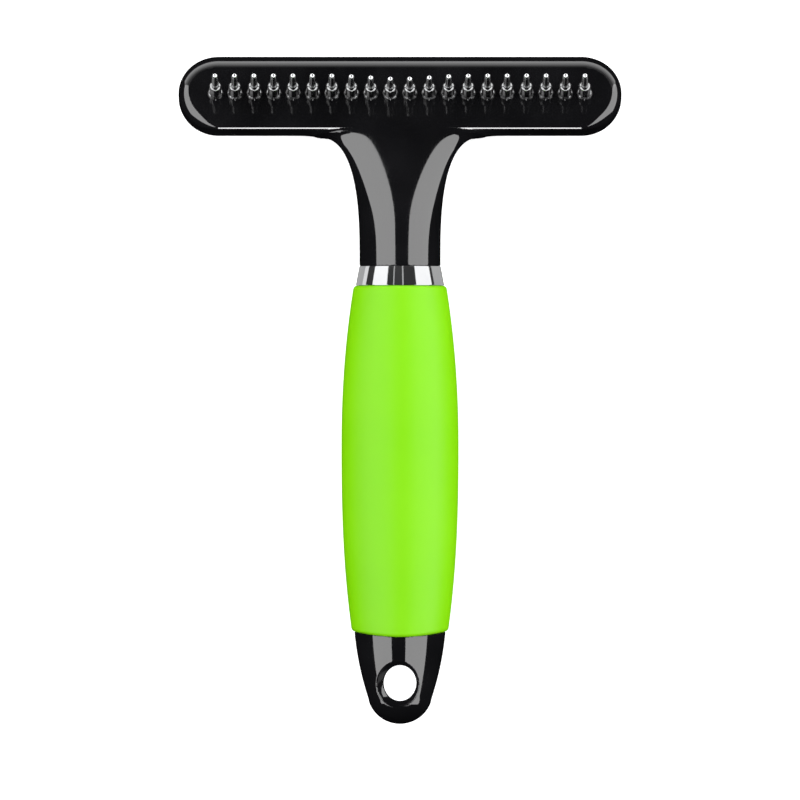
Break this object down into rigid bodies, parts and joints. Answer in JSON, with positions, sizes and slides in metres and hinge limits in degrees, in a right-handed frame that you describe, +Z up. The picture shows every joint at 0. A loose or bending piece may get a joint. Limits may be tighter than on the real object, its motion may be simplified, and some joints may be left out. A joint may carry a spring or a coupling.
{
  "type": "undercoat rake",
  "caption": "T-shaped pet grooming rake: a glossy black head with a row of round-tipped turning steel pins, chromed ferrule, soft green oval grip and end cap with a hanging hole",
  "frame": {"origin": "On the surface that the tool lies on, under the middle of its length and width. It lies on its back, on the belly of the grip and the back edge of the bar.", "axes": "+Y along the handle towards the head, +X along the cross bar to the right when seen from the pin side with the head away, +Z up, the side the pins stand on"},
  "size_m": [0.1198, 0.1803, 0.0276],
  "materials": {
    "gloss_black": "polished black moulding",
    "satin_black": "satin black moulding",
    "pin_steel": "turned and polished steel",
    "chrome_ring": "bright chrome",
    "soft_green": "soft satin green elastomer"
  },
  "bodies": {
    "root": {"head_shell": "gloss_black", "head_back_cover": "satin_black", "pin_retainer_strip": "satin_black", "ferrule_ring": "chrome_ring", "handle_core": "satin_black", "grip_sleeve": "soft_green", "end_cap": "gloss_black"},
    "pin_01": {"pin_01": "pin_steel"},
    "pin_02": {"pin_02": "pin_steel"},
    "pin_03": {"pin_03": "pin_steel"},
    "pin_04": {"pin_04": "pin_steel"},
    "pin_05": {"pin_05": "pin_steel"},
    "pin_06": {"pin_06": "pin_steel"},
    "pin_07": {"pin_07": "pin_steel"},
    "pin_08": {"pin_08": "pin_steel"},
    "pin_09": {"pin_09": "pin_steel"},
    "pin_10": {"pin_10": "pin_steel"},
    "pin_11": {"pin_11": "pin_steel"},
    "pin_12": {"pin_12": "pin_steel"},
    "pin_13": {"pin_13": "pin_steel"},
    "pin_14": {"pin_14": "pin_steel"},
    "pin_15": {"pin_15": "pin_steel"},
    "pin_16": {"pin_16": "pin_steel"},
    "pin_17": {"pin_17": "pin_steel"},
    "pin_18": {"pin_18": "pin_steel"},
    "pin_19": {"pin_19": "pin_steel"},
    "pin_20": {"pin_20": "pin_steel"}
  },
  "joints": [
    {"name": "pin_01_spin", "type": "hinge", "parent": "root", "child": "pin_01", "pos_m": [-0.04988, 0.08016, 0.01066], "axis": [0, 0.309, 0.9511], "continuous": true},
    {"name": "pin_02_spin", "type": "hinge", "parent": "root", "child": "pin_02", "pos_m": [-0.04462, 0.08016, 0.01066], "axis": [0, 0.309, 0.9511], "continuous": true},
    {"name": "pin_03_spin", "type": "hinge", "parent": "root", "child": "pin_03", "pos_m": [-0.03938, 0.08016, 0.01066], "axis": [0, 0.309, 0.9511], "continuous": true},
    {"name": "pin_04_spin", "type": "hinge", "parent": "root", "child": "pin_04", "pos_m": [-0.03413, 0.08016, 0.01066], "axis": [0, 0.309, 0.9511], "continuous": true},
    {"name": "pin_05_spin", "type": "hinge", "parent": "root", "child": "pin_05", "pos_m": [-0.02888, 0.08016, 0.01066], "axis": [0, 0.309, 0.9511], "continuous": true},
    {"name": "pin_06_spin", "type": "hinge", "parent": "root", "child": "pin_06", "pos_m": [-0.02363, 0.08016, 0.01066], "axis": [0, 0.3084, 0.9513], "continuous": true},
    {"name": "pin_07_spin", "type": "hinge", "parent": "root", "child": "pin_07", "pos_m": [-0.01837, 0.08016, 0.01066], "axis": [0, 0.3052, 0.9523], "continuous": true},
    {"name": "pin_08_spin", "type": "hinge", "parent": "root", "child": "pin_08", "pos_m": [-0.01312, 0.08016, 0.01066], "axis": [0, 0.2942, 0.9557], "continuous": true},
    {"name": "pin_09_spin", "type": "hinge", "parent": "root", "child": "pin_09", "pos_m": [-0.00788, 0.08016, 0.01066], "axis": [0, 0.272, 0.9623], "continuous": true},
    {"name": "pin_10_spin", "type": "hinge", "parent": "root", "child": "pin_10", "pos_m": [-0.00263, 0.08016, 0.01066], "axis": [0, 0.2505, 0.9681], "continuous": true},
    {"name": "pin_11_spin", "type": "hinge", "parent": "root", "child": "pin_11", "pos_m": [0.00263, 0.08016, 0.01066], "axis": [0, 0.2505, 0.9681], "continuous": true},
    {"name": "pin_12_spin", "type": "hinge", "parent": "root", "child": "pin_12", "pos_m": [0.00788, 0.08016, 0.01066], "axis": [0, 0.272, 0.9623], "continuous": true},
    {"name": "pin_13_spin", "type": "hinge", "parent": "root", "child": "pin_13", "pos_m": [0.01312, 0.08016, 0.01066], "axis": [0, 0.2942, 0.9557], "continuous": true},
    {"name": "pin_14_spin", "type": "hinge", "parent": "root", "child": "pin_14", "pos_m": [0.01837, 0.08016, 0.01066], "axis": [0, 0.3052, 0.9523], "continuous": true},
    {"name": "pin_15_spin", "type": "hinge", "parent": "root", "child": "pin_15", "pos_m": [0.02363, 0.08016, 0.01066], "axis": [0, 0.3084, 0.9513], "continuous": true},
    {"name": "pin_16_spin", "type": "hinge", "parent": "root", "child": "pin_16", "pos_m": [0.02888, 0.08016, 0.01066], "axis": [0, 0.309, 0.9511], "continuous": true},
    {"name": "pin_17_spin", "type": "hinge", "parent": "root", "child": "pin_17", "pos_m": [0.03413, 0.08016, 0.01066], "axis": [0, 0.309, 0.9511], "continuous": true},
    {"name": "pin_18_spin", "type": "hinge", "parent": "root", "child": "pin_18", "pos_m": [0.03938, 0.08016, 0.01066], "axis": [0, 0.309, 0.9511], "continuous": true},
    {"name": "pin_19_spin", "type": "hinge", "parent": "root", "child": "pin_19", "pos_m": [0.04462, 0.08016, 0.01066], "axis": [0, 0.309, 0.9511], "continuous": true},
    {"name": "pin_20_spin", "type": "hinge", "parent": "root", "child": "pin_20", "pos_m": [0.04988, 0.08016, 0.01066], "axis": [0, 0.309, 0.9511], "continuous": true}
  ]
}
